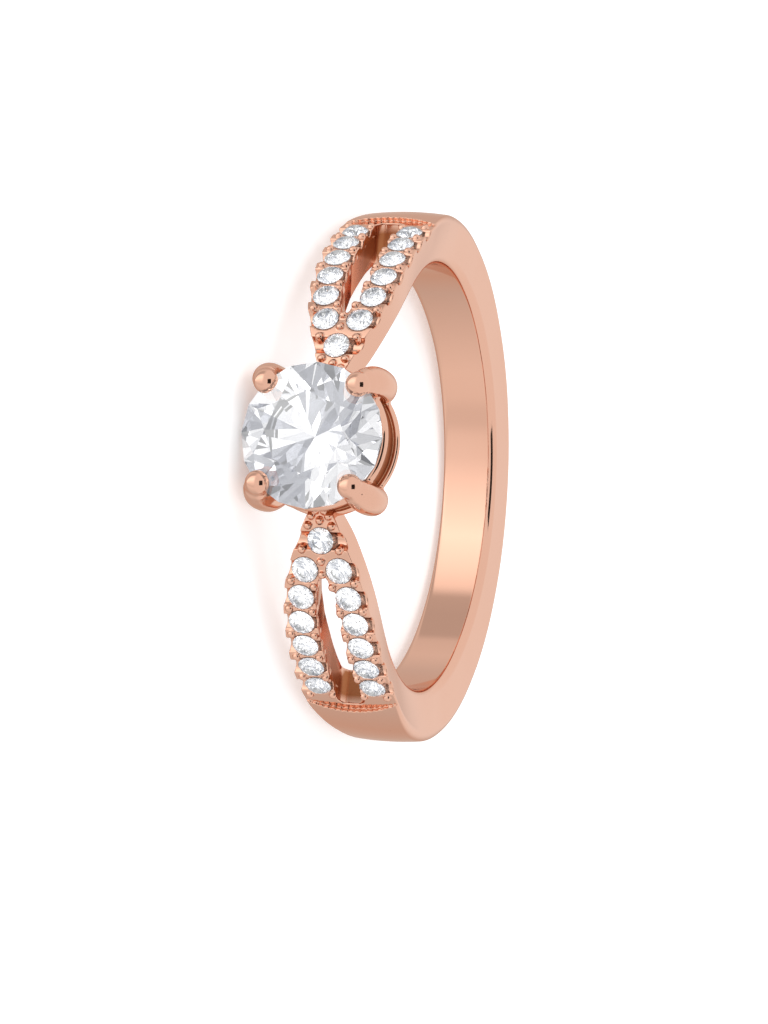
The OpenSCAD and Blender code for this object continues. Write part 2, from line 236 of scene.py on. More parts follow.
# %% Field of the band
def band_field(points):
    """Distance from the band's surface, negative in the metal. Everything is mirrored at x = 0 and z = 0."""
    x, y, z = np.abs(points[:, 0]), points[:, 1], np.abs(points[:, 2])
    r, angle = np.hypot(x, y), np.degrees(np.arctan2(x, -y))
    inner, outer = np.interp(angle, ANGLES, INNER_W), np.interp(angle, ANGLES, OUTER_W)
    lean = (outer - inner) / (MEASURED_R - FINGER_R)
    side = (z - inner - lean * (r - FINGER_R)) / np.sqrt(1 + lean * lean)
    dome = np.hypot(np.hypot(x, y - OUTSIDE_SHIFT) - DOME_CENTRE, z) - DOME_R
    metal = rolled_edge(dome, side, np.interp(angle, EDGE_ROWS[:, 0], EDGE_ROWS[:, 1]))
    metal = rolled_edge(metal, FINGER_R - r, RIM_ROLL)

    near = (angle < STONES[-1, 0] + SET_REACH) & (r > FINGER_R - SET_DEPTH)
    if not near.any():
        return metal
    x, y, z, angle, body = x[near], y[near], z[near], angle[near], metal[near]
    along = x * math.cos(SHOULDER_MID) + y * math.sin(SHOULDER_MID)
    over = np.hypot(x - RECESS_FALL, y) - PAVE_R
    flutes = FLUTE_DEPTH * np.abs(np.sin(FLUTES * np.arctan2(z, np.maximum(along, 0.01))))
    step = np.hypot(np.maximum(along, 0), z) - STEP_R + flutes
    body = soft_cut(body, -soft_cut(step, -over, SEAT_BLEND), STEP_BLEND)
    body = soft_cut(body, -(x * math.cos(BAND_START) + y * math.sin(BAND_START)), STEP_BLEND)

    up = x * math.sin(SHOULDER_MID) - y * math.cos(SHOULDER_MID)
    half_slot = np.interp(along, SLOT_V, SLOT[:, 1], left=-1) * (1 + SLOT_FLARE * (SLOT_LEVEL - up))
    slot = rolled_edge(z - half_slot, along - SLOT_V[-1], SLOT_ROUND)
    slot = np.maximum(slot, SLOT_V[0] - along)
    body = soft_cut(body, -slot, SLOT_BLEND)

    for i, (at, across) in enumerate(STONES):
        here = np.abs(angle - at) < FEATURE_REACH
        px, py, pz, part = x[here], y[here], z[here], body[here]
        notch_x, notch_y, _ = ring_point(at, pave_at(at) + SCALLOP_RISE, 0)
        flat = np.hypot(px - notch_x, py - notch_y)
        start = across if i < 2 else across + SCALLOP_OFF
        part = soft_cut(part, -np.maximum(flat - SCALLOP_R, start - pz), SCALLOP_BLEND)
        if i > 1:
            part = soft_cut(part, -np.maximum(flat - INNER_SCALLOP_R, pz - across + SCALLOP_OFF), STEP_BLEND)
        sine, cosine = math.sin(math.radians(at)), math.cos(math.radians(at))
        height = px * sine - py * cosine - (pave_at(at) - ACCENT_SINK)
        radius = np.hypot(px * cosine + py * sine, pz - across)
        body[here] = soft_cut(part, -seat(height, radius, ACCENT_R, SEAT_GAP), SEAT_BLEND)

    for at, across in BEADS:
        here = np.abs(angle - at) < FEATURE_REACH
        px, py, pz = x[here], y[here], z[here]
        sine, cosine = math.sin(math.radians(at)), math.cos(math.radians(at))
        height = px * sine - py * cosine - (pave_at(at) + BEAD_RISE)
        height = height - np.clip(height, -BEAD_POST, 0)
        bead = np.sqrt(height ** 2 + (px * cosine + py * sine) ** 2 + (pz - across) ** 2) - BEAD_R
        body[here] = soft_join(body[here], bead, STEP_BLEND)
    metal[near] = body
    return metal


probe_spots = ((180, OUTSIDE_R), (180, FINGER_R + WALL / 2), (50, 9.0))
probe = np.array([ring_point(*spot, 0) for spot in probe_spots])
print("field on the back, inside the shank and in the slot:", np.round(band_field(probe), 3))

# %% [markdown]
# ## From a field to a skin
# A grid of samples finds the cells that the surface passes through. Each such cell gets one vertex, at the
# middle of the places where the surface crosses its edges, and four cells round a crossed grid line make one
# quad. This way was chosen because its quads are even, also where a bead meets the metal.

# %% Skin a field
CORNERS = [(i, j, k) for i in (0, 1) for j in (0, 1) for k in (0, 1)]


def cell_part(values, corner):
    """The samples at one corner of every cell."""
    return values[tuple(slice(c, n - 1 + c) for c, n in zip(corner, values.shape))]


def rough_skin(values, axes):
    """Vertices and quads round a grid's negative samples, with one vertex for each crossed cell."""
    inside = values < 0
    count = sum(cell_part(inside, corner).astype(np.int8) for corner in CORNERS)
    crossed = (count > 0) & (count < 8)
    cells = np.argwhere(crossed)
    number = np.full(crossed.shape, -1)
    number[crossed] = np.arange(len(cells))
    total, hits = np.zeros((len(cells), 3)), np.zeros(len(cells))
    low = np.column_stack([axes[d][cells[:, d]] for d in range(3)])
    size = np.column_stack([axes[d][cells[:, d] + 1] for d in range(3)]) - low
    for corner in CORNERS:
        for d in range(3):
            if corner[d]:
                continue
            other = tuple(1 if e == d else c for e, c in enumerate(corner))
            a = values[tuple((cells + corner).T)]
            b = values[tuple((cells + other).T)]
            hit = (a < 0) != (b < 0)
            place = np.tile(np.array(corner, float), (len(cells), 1))
            place[hit, d] = (a / np.where(hit, a - b, 1))[hit]
            total[hit] += place[hit]
            hits[hit] += 1
    vertices = low + size * total / hits[:, None]
    quads = []
    for d in range(3):
        e, f = (d + 1) % 3, (d + 2) % 3
        a, b = [slice(None)] * 3, [slice(None)] * 3
        a[d], b[d] = slice(0, -1), slice(1, None)
        edge = inside[tuple(a)] != inside[tuple(b)]
        where = np.argwhere(edge)
        last_e, last_f = values.shape[e] - 1, values.shape[f] - 1
        met = (where[:, e] > 0) & (where[:, f] > 0) & (where[:, e] < last_e) & (where[:, f] < last_f)
        where = where[met]
        ring = []
        for back_e, back_f in ((0, 0), (1, 0), (1, 1), (0, 1)):
            cell = where.copy()
            cell[:, e] -= back_e
            cell[:, f] -= back_f
            ring.append(number[tuple(cell.T)])
        quad = np.column_stack(ring)
        flip = ~inside[tuple(where.T)]
        quad[flip] = quad[flip][:, ::-1]
        quads.append(quad)
    return vertices, np.vstack(quads)


print("a cell has", len(CORNERS), "corners")

# %% [markdown]
# ## Settle on the surface
# The vertices now slide down the field's slope until they lie on the surface itself, as a file takes off
# what stands proud. The slope also gives each vertex its true normal, and that is what makes polished metal
# look polished.

# %% Slope and settling
def slope(field, points, reach=0.004):
    """Gradient of a field at points, from samples a little to each side."""
    steps = np.eye(3) * reach
    return np.column_stack([(field(points + s) - field(points - s)) / (2 * reach) for s in steps])


def settle(field, points, rounds, limit):
    """Points slid onto the field's surface, no further than the limit in all, and the normals there."""
    start = points.copy()
    for _ in range(rounds):
        rise = slope(field, points)
        steep = np.maximum((rise ** 2).sum(axis=1), 0.05)
        points = points - rise * (field(points) / steep)[:, None]
        moved = points - start
        far = np.linalg.norm(moved, axis=1)
        points = start + moved * np.minimum(1, limit / np.maximum(far, 1e-9))[:, None]
    rise = slope(field, points)
    return points, rise / np.maximum(np.linalg.norm(rise, axis=1), 1e-9)[:, None]


print("slope on the outside of the back:", slope(band_field, probe[:1]).round(2))

# %% [markdown]
# ## The band's skin
# The grid runs round the ring: one axis is the angle, one the distance from the finger axis, one the
# distance across. So the rows of quads follow the band as a jeweller's file does. The steps are fine over
# the set shoulders and grow towards the plain back. One quarter is sampled and mirrored twice.

# %% Skin the band
FIRST_ANGLE, PLAIN_FROM, PLAIN_RUN = 11.4, 76, 24


def band_angles(fine, coarse):
    """Angles of the grid on one side, from the band's pointed end to the middle of its back."""
    angles = [FIRST_ANGLE]
    while angles[-1] < 180:
        share = np.clip((angles[-1] - PLAIN_FROM) / PLAIN_RUN, 0, 1)
        angles.append(angles[-1] + fine + (coarse - fine) * share)
    angles = np.array(angles)
    return angles * 180 / angles[-1] if angles[-1] > 180 else angles


def to_ring(grid_points):
    """Grid points (angle, distance from the axis, distance across) in the ring's own frame."""
    a, r, across = np.radians(grid_points[:, 0]), grid_points[:, 1], grid_points[:, 2]
    return np.column_stack([r * np.sin(a), -r * np.cos(a), across])


def sampled(field, axes, place=lambda p: p):
    """Field samples on a grid."""
    grid = np.stack(np.meshgrid(*axes, indexing="ij"), axis=-1)
    return field(place(grid.reshape(-1, 3))).reshape(grid.shape[:3])


BAND_CELL = 0.052
angles = band_angles(fine=0.33, coarse=1.0)
radii = np.concatenate([np.arange(8.13, 9.0, 0.08), np.arange(9.0, 10.65, BAND_CELL)])
half_across = np.arange(BAND_CELL / 2, 2.0, BAND_CELL)
quarter = sampled(band_field, (angles, radii, half_across), to_ring)
half = np.concatenate([quarter[:, :, ::-1], quarter], axis=2)
whole = np.concatenate([half, half[-2::-1]], axis=0)
all_angles = np.concatenate([angles, 360 - angles[-2::-1]])
band_axes = (all_angles, radii, np.concatenate([-half_across[::-1], half_across]))
band_points, band_quads = rough_skin(whole, band_axes)
band_cell_angle = band_points[:, 0]
band_points, band_normals = settle(band_field, to_ring(band_points), rounds=4, limit=0.05)
band_quads = band_quads[:, ::-1]  # angle, distance and across turn the other way round than x, y and z
print("band skin:", len(band_points), "vertices,", len(band_quads), "quads")

# %% [markdown]
# ## Pieces of metal
# One casting is easier to look after in a few pieces: the plain shank and the two shoulders are cut from one
# skin, so their edges share the same points and normals and no seam shows. Each cut end gets a cap, which
# keeps every piece a closed body.

# %% Make a piece from a skin
def closed_piece(name, points, normals, quads):
    """A mesh object from quads, its open ends capped, with the field's own normals."""
    # An edge with one quad belongs to an open end. Such edges are walked into loops, and each becomes a cap.
    used, quads = np.unique(quads, return_inverse=True)
    quads = quads.reshape(-1, 4)
    mesh = bpy.data.meshes.new(name)
    edges = np.sort(np.stack([quads, np.roll(quads, -1, axis=1)], axis=-1).reshape(-1, 2), axis=1)
    pairs, times = np.unique(edges, axis=0, return_counts=True)
    beyond = {}
    for a, b in pairs[times == 1]:
        beyond.setdefault(int(a), []).append(int(b))
        beyond.setdefault(int(b), []).append(int(a))
    caps = []
    while beyond:
        loop = [next(iter(beyond))]
        while True:
            options = [v for v in beyond.get(loop[-1], []) if v not in loop[-2:] and v in beyond]
            step = next((v for v in options if v not in loop), None)
            if step is None:
                break
            loop.append(step)
        for v in loop:
            beyond.pop(v, None)
        if len(loop) > 2:
            caps.append(loop)
    mesh.from_pydata(lay_down(points[used]).tolist(), [], quads.tolist() + caps)
    mesh.polygons.foreach_set("use_smooth", [True] * len(mesh.polygons))
    mesh.normals_split_custom_set_from_vertices(turn_to_rest(normals[used]).tolist())
    piece = bpy.data.objects.new(name, mesh)
    bpy.context.scene.collection.objects.link(piece)
    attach(piece, "root")
    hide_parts("mounting")
    print(name, len(quads), "quads", len(caps), "caps")
    return piece


PARTING = 80  # degrees from the large stone, where a shoulder ends and the plain shank starts
quad_angle = band_cell_angle[band_quads].mean(axis=1)
on_right, on_left = quad_angle < PARTING, quad_angle > 360 - PARTING
shoulder_right = closed_piece("shoulder_right", band_points, band_normals, band_quads[on_right])
shoulder_left = closed_piece("shoulder_left", band_points, band_normals, band_quads[on_left])
shank = closed_piece("shank", band_points, band_normals, band_quads[~(on_right | on_left)])

# %% [markdown]
# ## A claw
# A goldsmith bends each claw from wire, files it thick at its elbow, notches it for the stone and melts its
# tip to a ball. Here a claw is the distance to a smooth curve minus a radius that changes along it, joined
# to a ball. The nearest place on the curve is searched first in long steps and then in short ones, and at
# last worked out between two knots, because the polish would show each knot.

# %% Field of a claw
CLAW_TURN = math.radians(43.5)
BALL_H, BALL_REACH, BALL_R, BALL_BLEND = 0.47, 2.63, 0.47, 0.10
CLAW = np.array([
    # height over the girdle, distance from the basket's axis, radius of the wire
    [0.04, 2.84, 0.52], [-0.25, 2.92, 0.57], [-0.60, 2.98, 0.60], [-1.10, 3.00, 0.60],
    [-1.60, 2.97, 0.59], [-2.00, 2.84, 0.53], [-2.25, 2.68, 0.45], [-2.42, 2.52, 0.38],
])


def smooth_rows(rows, count, spread):
    """Rows of a path spread evenly along its length and softened, its two ends kept."""
    lengths = np.concatenate([[0], np.cumsum(np.linalg.norm(np.diff(rows[:, :2], axis=0), axis=1))])
    even = np.linspace(0, lengths[-1], count)
    dense = np.column_stack([np.interp(even, lengths, rows[:, c]) for c in range(rows.shape[1])])
    reach = int(spread / lengths[-1] * count)
    before, after = 2 * dense[0] - dense[reach:0:-1], 2 * dense[-1] - dense[-2:-reach - 2:-1]
    padded = np.concatenate([before, dense, after])
    window = np.hanning(2 * reach + 1)
    window = window / window.sum()
    return np.column_stack([np.convolve(padded[:, c], window, "valid") for c in range(rows.shape[1])])


CLAW_PATH = smooth_rows(CLAW, count=240, spread=0.35)
KNOT_STEP = 8


def claw_field(x, h, z):
    """Distance from the claw of one quarter of the basket, its height counted from the girdle."""
    reach = x * math.cos(CLAW_TURN) + z * math.sin(CLAW_TURN)
    aside = z * math.cos(CLAW_TURN) - x * math.sin(CLAW_TURN)
    last = len(CLAW_PATH) - 1
    best, near = np.full(len(x), np.inf), np.zeros(len(x), int)
    for i in range(0, last + 1, KNOT_STEP):
        apart = (h - CLAW_PATH[i, 0]) ** 2 + (reach - CLAW_PATH[i, 1]) ** 2
        closer = apart < best
        best[closer], near[closer] = apart[closer], i
    coarse = near.copy()
    for offset in range(-KNOT_STEP, KNOT_STEP + 1):
        i = np.clip(coarse + offset, 0, last)
        apart = (h - CLAW_PATH[i, 0]) ** 2 + (reach - CLAW_PATH[i, 1]) ** 2
        closer = apart < best
        best[closer], near[closer] = apart[closer], i[closer]
    metal = np.full(len(x), np.inf)
    for first in (np.clip(near - 1, 0, last - 1), np.clip(near, 0, last - 1)):
        start, run = CLAW_PATH[first], CLAW_PATH[first + 1] - CLAW_PATH[first]
        ahead = (h - start[:, 0]) * run[:, 0] + (reach - start[:, 1]) * run[:, 1]
        share = ahead / (run[:, :2] ** 2).sum(axis=1)
        at = start + run * np.clip(share, 0, 1)[:, None]
        apart = np.sqrt((h - at[:, 0]) ** 2 + (reach - at[:, 1]) ** 2 + aside ** 2)
        metal = np.minimum(metal, apart - at[:, 2])
    ball = np.sqrt((h - BALL_H) ** 2 + (reach - BALL_REACH) ** 2 + aside ** 2) - BALL_R
    return soft_join(metal, ball, BALL_BLEND)


print("claw path:", len(CLAW_PATH), "knots")

# %% [markdown]
# ## The basket
# Two round rails carry the claws, with a thin collar between them. The goldsmith turns and solders them,
# and cuts the seat for the large stone through the upper rail and the claws in one go. So the room for the
# stone is taken from the joined metal.

# %% Field of the basket
GIRDLE_H, CENTRE_R, CENTRE_GAP = 10.9, 2.76, 0.03
# Height of a rail over the finger axis, its radius and the radius of its wire
RAILS = [(10.2, 2.54, 0.22), (8.85, 2.64, 0.14)]
COLLAR_R, COLLAR_WALL = 2.54, 0.16
CROWN_SHARE, TABLE_SHARE = 0.31, 0.56
CLAW_BLEND, COLLAR_BLEND, SETTING_BLEND = 0.12, 0.08, 0.03
OUT_OF_REACH, CLAWS_FROM = 9.0, 0.8


def basket_field(points):
    """Distance from the basket's surface. It is mirrored at x = 0 and z = 0."""
    x, h, z = np.abs(points[:, 0]), -points[:, 1], np.abs(points[:, 2])
    from_axis = np.hypot(x, z)
    metal = np.full(len(x), OUT_OF_REACH)
    for rail_h, rail_r, wire_r in RAILS:
        metal = np.minimum(metal, np.hypot(from_axis - rail_r, h - rail_h) - wire_r)
    between = np.maximum(h - RAILS[0][0], RAILS[1][0] - h)
    collar = np.maximum(np.abs(from_axis - COLLAR_R + COLLAR_WALL / 2) - COLLAR_WALL / 2, between)
    metal = soft_join(metal, collar, COLLAR_BLEND)
    near = (x > CLAWS_FROM) & (z > CLAWS_FROM)
    metal[near] = soft_join(metal[near], claw_field(x[near], h[near] - GIRDLE_H, z[near]), CLAW_BLEND)
    up = h - GIRDLE_H
    girdle = GIRDLE_SHARE * CENTRE_R / 2 + CENTRE_GAP
    crown_rise, crown_run = CROWN_SHARE * CENTRE_R, CENTRE_R * (1 - TABLE_SHARE)
    crown = (up - girdle) * crown_run + (from_axis - CENTRE_R - CENTRE_GAP) * crown_rise
    crown = crown / math.hypot(crown_rise, crown_run)
    room = np.maximum(seat(up, from_axis, CENTRE_R, CENTRE_GAP), crown)
    return soft_cut(metal, -room, SETTING_BLEND)


BASKET_CELL = 0.044
half_x = np.arange(BASKET_CELL / 2, 3.0, BASKET_CELL)
half_z = np.arange(BASKET_CELL / 2, 2.95, BASKET_CELL)
levels = -np.arange(12.0, 8.0, -BASKET_CELL)
quarter = sampled(basket_field, (half_x, levels, half_z))
half = np.concatenate([quarter[::-1], quarter], axis=0)
whole = np.concatenate([half[:, :, ::-1], half], axis=2)
basket_axes = (np.concatenate([-half_x[::-1], half_x]), levels, np.concatenate([-half_z[::-1], half_z]))
basket_points, basket_quads = rough_skin(whole, basket_axes)
basket_points, basket_normals = settle(basket_field, basket_points, rounds=4, limit=0.04)
basket = closed_piece("basket", basket_points, basket_normals, basket_quads)

# %% [markdown]
# ## A short way to write materials
# A material in Blender is a graph, and a graph is hard to read as code. One small class wraps a socket so
# that sums can be written as sums, and one method adds any other node from its type, its settings and its
# inputs.

# %% Shader sums
def feed(tree, socket, value):
    """Links a wire to a socket, or sets the socket to a plain value."""
    if isinstance(value, Wire):
        tree.links.new(value.socket, socket)
    else:
        socket.default_value = value


class Wire:
    """A socket of a node, which can be used in sums."""

    def __init__(self, tree, socket):
        self.tree, self.socket = tree, socket

    def sum(self, operation, first, second):
        """A new wire, out of a Math node that works on two wires or numbers."""
        node = self.tree.nodes.new("ShaderNodeMath")
        node.operation = operation
        for socket, value in zip(node.inputs, (first, second)):
            feed(self.tree, socket, value)
        return Wire(self.tree, node.outputs[0])

    def __add__(self, other): return self.sum("ADD", self, other)
    def __radd__(self, other): return self.sum("ADD", other, self)
    def __sub__(self, other): return self.sum("SUBTRACT", self, other)
    def __rsub__(self, other): return self.sum("SUBTRACT", other, self)
    def __mul__(self, other): return self.sum("MULTIPLY", self, other)
    def __rmul__(self, other): return self.sum("MULTIPLY", other, self)


class Finish:
    """A new material, or the world, whose nodes are added one after another."""

    def __init__(self, name, kind=bpy.data.materials, end="OutputMaterial"):
        self.material, self.end = kind.new(name), end
        self.material.use_nodes = True
        self.tree = self.material.node_tree
        self.tree.nodes.clear()

    def node(self, kind, settings=None, output=0, **inputs):
        """Adds a node: its settings first, then the values or wires of its inputs, by name or as i0, i1."""
        node = self.tree.nodes.new("ShaderNode" + kind)
        for name, value in (settings or {}).items():
            if name == "stops":
                for i, (at, colour) in enumerate(value):
                    stop = node.color_ramp.elements[i] if i < 2 else node.color_ramp.elements.new(at)
                    stop.position, stop.color = at, colour
            else:
                setattr(node, name, value)
        for name, value in inputs.items():
            numbered = name[0] == "i" and name[1:].isdigit()
            feed(self.tree, node.inputs[int(name[1:]) if numbered else name.replace("_", " ")], value)
        return Wire(self.tree, node.outputs[output]) if node.outputs else None

    def blend(self, factor, first, second):
        """Mixes two colours."""
        node = self.tree.nodes.new("ShaderNodeMix")
        node.data_type = "RGBA"
        for place, value in ((0, factor), (6, first), (7, second)):
            feed(self.tree, node.inputs[place], value)
        return Wire(self.tree, node.outputs[2])

    def done(self, shader):
        """Ends the material with a shader."""
        self.node(self.end, Surface=shader)
        return self.material


print("a finish is built from", Finish.node.__name__, "and", Wire.sum.__name__)

# %% [markdown]
# ## Painted shade where the wheel doesn't reach
# The polishing wheel misses the groove between the rails and the far end of each slot, so the metal there is
# made rougher and duller, and its colour is darkened as painted shade for the shade that falls in these
# recesses. The masks for these places are worked out from the ring's own frame, which needs no image map
# and follows the shape wherever the pieces are parted.

# %% Masks of the painted shade and the dull places
# In millimetres: the groove between the rails, and the slots' far ends
GROOVE_MOUTH, GROOVE_FLOOR, GROOVE_HALF = 0.14, 0.06, 0.62
SHADE_AND_DULL_HALF_W, SHADE_AND_DULL_FROM, SHADE_AND_DULL_FULL = 0.82, -0.4, 1.4


def ring_place(finish):
    """Wires of x, y and z in the ring's own frame, in millimetres."""
    place = finish.node("TexCoord", output=3)
    place = finish.node("VectorMath", {"operation": "SCALE"}, i0=place, Scale=1 / MM)
    place = finish.node("VectorMath", {"operation": "SUBTRACT"}, i0=place, i1=(0, -MIDDLE_Y, REST_LIFT))
    cosine, sine = math.cos(REST_TILT), math.sin(REST_TILT)
    ways = ((1, 0, 0), (0, cosine, -sine), (0, sine, cosine))
    dot = {"operation": "DOT_PRODUCT"}
    return [finish.node("VectorMath", dot, output=1, i0=place, i1=way) for way in ways]


def length_of(finish, a, b):
    """Wire of the distance that two wires at right angles make."""
    return finish.node("Math", {"operation": "SQRT"}, i0=a * a + b * b)


def fade(finish, value, none, full):
    """Wire that is 0 where a value is at none and 1 where it is at full."""
    return finish.node("MapRange", Value=value, From_Min=none, From_Max=full)


def size_of(finish, value):
    """Wire of a value without its sign."""
    return finish.node("Math", {"operation": "ABSOLUTE"}, i0=value)


def between_rails(finish, x, y, z):
    """1 in the groove between the two rails and 0 elsewhere."""
    from_middle = size_of(finish, y + (RAILS[0][0] + RAILS[1][0]) / 2)
    deep = fade(finish, length_of(finish, x, z), COLLAR_R + GROOVE_MOUTH, COLLAR_R + GROOVE_FLOOR)
    return deep * fade(finish, from_middle, GROOVE_HALF, GROOVE_HALF - 0.12)


def inside_slot(finish, x, y, z):
    """1 on the walls at the slot's outer end and 0 elsewhere."""
    x = size_of(finish, x)
    along = x * math.cos(SHOULDER_MID) + y * math.sin(SHOULDER_MID)
    under = length_of(finish, x - RECESS_FALL, y) - PAVE_R
    open_hole = fade(finish, length_of(finish, x, y), FINGER_R + 0.05, FINGER_R + 0.15)
    middle = fade(finish, size_of(finish, z), SHADE_AND_DULL_HALF_W, SHADE_AND_DULL_HALF_W - 0.08)
    far_end = fade(finish, along, SHADE_AND_DULL_FROM, SHADE_AND_DULL_FULL) * fade(finish, along, STEP_R + 0.3, STEP_R + 0.2)
    return open_hole * middle * far_end * fade(finish, under, -0.10, -0.45)


print("dull from", SHADE_AND_DULL_FROM, "to", round(STEP_R + 0.3, 2), "mm along the slot")

# %% [markdown]
# ## Polished rose gold
# The alloy is gold with much copper, which gives its pink. Polish leaves it almost a mirror, but not quite:
# the wheel leaves faint waves, and fine hairlines catch the light. Here the colour drifts a little from pink
# to copper, the roughness varies by a few hundredths, and two very shallow bumps bend the reflections.
# Light that a stone has bent passes the metal by and finds only the tent, which keeps the stones white.

# %% Rose gold
PINK = (0.83, 0.49, 0.36, 1)
COPPER = (0.80, 0.45, 0.32, 1)
# Painted shade: a dark colour for the shade in the rail groove and at the slots' far ends
RECESS_PAINTED_SHADE = (0.42, 0.15, 0.06, 1)
GRAZING_TINT = (1.0, 0.93, 0.88, 1)
gold = Finish("polished_rose_gold")
place = ring_place(gold)
painted_shade_and_dull = between_rails(gold, *place) + inside_slot(gold, *place)
spot = gold.node("TexCoord", output=3)
cloud = gold.node("TexNoise", Vector=spot, Scale=260.0, Detail=3.0)
waves = gold.node("TexNoise", Vector=spot, Scale=420.0, Detail=1.0)
grain = gold.node("TexNoise", Vector=spot, Scale=9000.0, Detail=4.0)
# The groove and the slots' far ends get painted shade, a darker colour in place of the shade there, and more
# roughness
colour = gold.blend(painted_shade_and_dull, gold.blend(cloud, PINK, COPPER), RECESS_PAINTED_SHADE)
rough = 0.05 + 0.05 * cloud + 0.02 * grain + 0.25 * painted_shade_and_dull
wavy = gold.node("Bump", Strength=0.10, Distance=0.00006, Height=waves)
skin = gold.node("Bump", Strength=0.05, Distance=0.000004, Height=grain, Normal=wavy)
rose_gold = gold.done(gold.node(
    "BsdfPrincipled", Base_Color=colour, Roughness=rough, Normal=skin,
    Metallic=1.0, Specular_Tint=GRAZING_TINT,
))
for piece in (shank, shoulder_left, shoulder_right, basket):
    piece.data.materials.append(rose_gold)
    piece.visible_transmission = False
print(rose_gold.name, len(rose_gold.node_tree.nodes), "nodes")

# %% [markdown]
# ## Cut stones
# A brilliant has no colour of its own: what is seen is the room, folded by its facets. Light that enters
# through the crown is thrown back by the lower facets, so little of the metal below is seen. Here the stone
# is clear and bends light as strongly as the real one, and its lower facets are mirrors for light that is
# already inside. Each facet also gets a painted shade between white and grey, picked from the way it faces,
# which stands in for the bright and dark reflections of a real stone. A renderer gives up on light after
# some mirrors, and the mirrors' faint glow is painted light that makes up for that.

# %% Stones
STONE_BENDING = 2.42
INSIDE_TOLERANCE = 0.007
FACET_GLOW = 0.13
SHADE_FROM, SHADE_FULL = 0.51, 0.61
WHITE = (1.0, 1.0, 1.0, 1)


def cut_stone(name, under_girdle, crown_grey, pavilion_grey):
    """A clear stone whose facets under the girdle throw back the light inside it."""
    stone = Finish(name)
    facet = stone.node("NewGeometry", output=3)
    # Painted shade and painted reflection: each facet is tinted between white and grey from the way it faces
    shade = stone.node("TexNoise", Vector=facet, Scale=5.0, Detail=1.0)
    share = fade(stone, shade, SHADE_FROM, SHADE_FULL)
    crown_painted_shade = stone.blend(share, WHITE, crown_grey)
    pavilion_painted_shade = stone.blend(share, WHITE, pavilion_grey)
    clear = stone.node(
        "BsdfPrincipled", Base_Color=crown_painted_shade, Roughness=0.0, IOR=STONE_BENDING, Transmission_Weight=1.0
    )
    # The lower facets glow faintly: painted light for the light the renderer gives up after some mirrors
    mirror = stone.node(
        "BsdfPrincipled", Base_Color=pavilion_painted_shade, Roughness=0.0, Metallic=1.0,
        Emission_Color=pavilion_painted_shade, Emission_Strength=FACET_GLOW,
    )
    inside = stone.node("NewGeometry", output=6)
    low = stone.node("Math", {"operation": "GREATER_THAN"}, i0=under_girdle(stone), i1=0.0)
    return stone.done(stone.node("MixShader", i0=low * inside, i1=clear, i2=mirror))


def under_centre_girdle(finish):
    """Wire that is over 0 below the large stone's girdle."""
    _, y, _ = ring_place(finish)
    return y + GIRDLE_H


def under_accent_girdle(finish):
    """Wire that is over 0 below the small stones' girdles."""
    x, y, _ = ring_place(finish)
    from_centre = length_of(finish, size_of(finish, x) - RECESS_FALL, y)
    return (PAVE_R - ACCENT_SINK + INSIDE_TOLERANCE) - from_centre


CENTRE_GREYS = (0.98, 0.98, 0.985, 1), (0.42, 0.43, 0.47, 1)
ACCENT_GREYS = (0.95, 0.96, 0.98, 1), (0.44, 0.46, 0.51, 1)
centre_finish = cut_stone("centre_brilliant", under_centre_girdle, *CENTRE_GREYS)
accent_finish = cut_stone("accent_brilliant", under_accent_girdle, *ACCENT_GREYS)
for name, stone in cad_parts.items():
    if name == "mounting":
        continue
    stone.data.materials.clear()
    stone.data.materials.append(centre_finish if name == "centre_stone" else accent_finish)
print("stones", len(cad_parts) - 1)

# %% [markdown]
# ## The studio
# Jewellery is photographed in a white tent: a pale table, soft light from all round, and a dark card that
# gives the polished metal its lines. The table is a plain sheet whose far edge is out of sight. The
# metal doesn't mirror it, because a ring shown in a tent mirrors only the tent: its walls are the world.
# One lamp overhead lays the soft shadow, and three small ones put sparks into the stones.

# %% Table and lamps
def stage_sheet(name, corners, material):
    """A flat sheet that belongs to the studio and not to the ring."""
    mesh = bpy.data.meshes.new(name)
    mesh.from_pydata([tuple(c) for c in corners], [], [tuple(range(len(corners)))])
    sheet = bpy.data.objects.new(name, mesh)
    sheet.data.materials.append(material)
    bpy.context.scene.collection.objects.link(sheet)
    return sheet


paper = Finish("pale_table")
paper_grain = paper.node("TexNoise", Vector=paper.node("TexCoord", output=3), Scale=400.0, Detail=3.0)
paper_colour = paper.blend(paper_grain, (0.90, 0.90, 0.905, 1), (0.92, 0.92, 0.92, 1))
PAPER_GLOW = (0.35, 0.35, 0.35, 1)
table_paper = paper.done(
    paper.node(
        "BsdfPrincipled", Base_Color=paper_colour, Roughness=0.9,
        Emission_Color=PAPER_GLOW, Emission_Strength=1.0,
    )
)
HALF_TABLE = 2.0
SHEET_CORNERS = ((-1, -1), (1, -1), (1, 1), (-1, 1))
table = stage_sheet("table", [(HALF_TABLE * a, HALF_TABLE * b, 0) for a, b in SHEET_CORNERS], table_paper)
table.visible_glossy = False


def soft_light(name, spot, size, power):
    """A round lamp turned to the ring. It lights the table, and the metal doesn't show it."""
    lamp = bpy.data.lights.new(name, "AREA")
    lamp.shape, lamp.size, lamp.energy = "DISK", size, power
    light = bpy.data.objects.new(name, lamp)
    light.location = spot
    light.rotation_mode = "QUATERNION"
    light.rotation_quaternion = (-Vector(spot)).to_track_quat("-Z", "Y")
    light.visible_glossy = False
    bpy.context.scene.collection.objects.link(light)


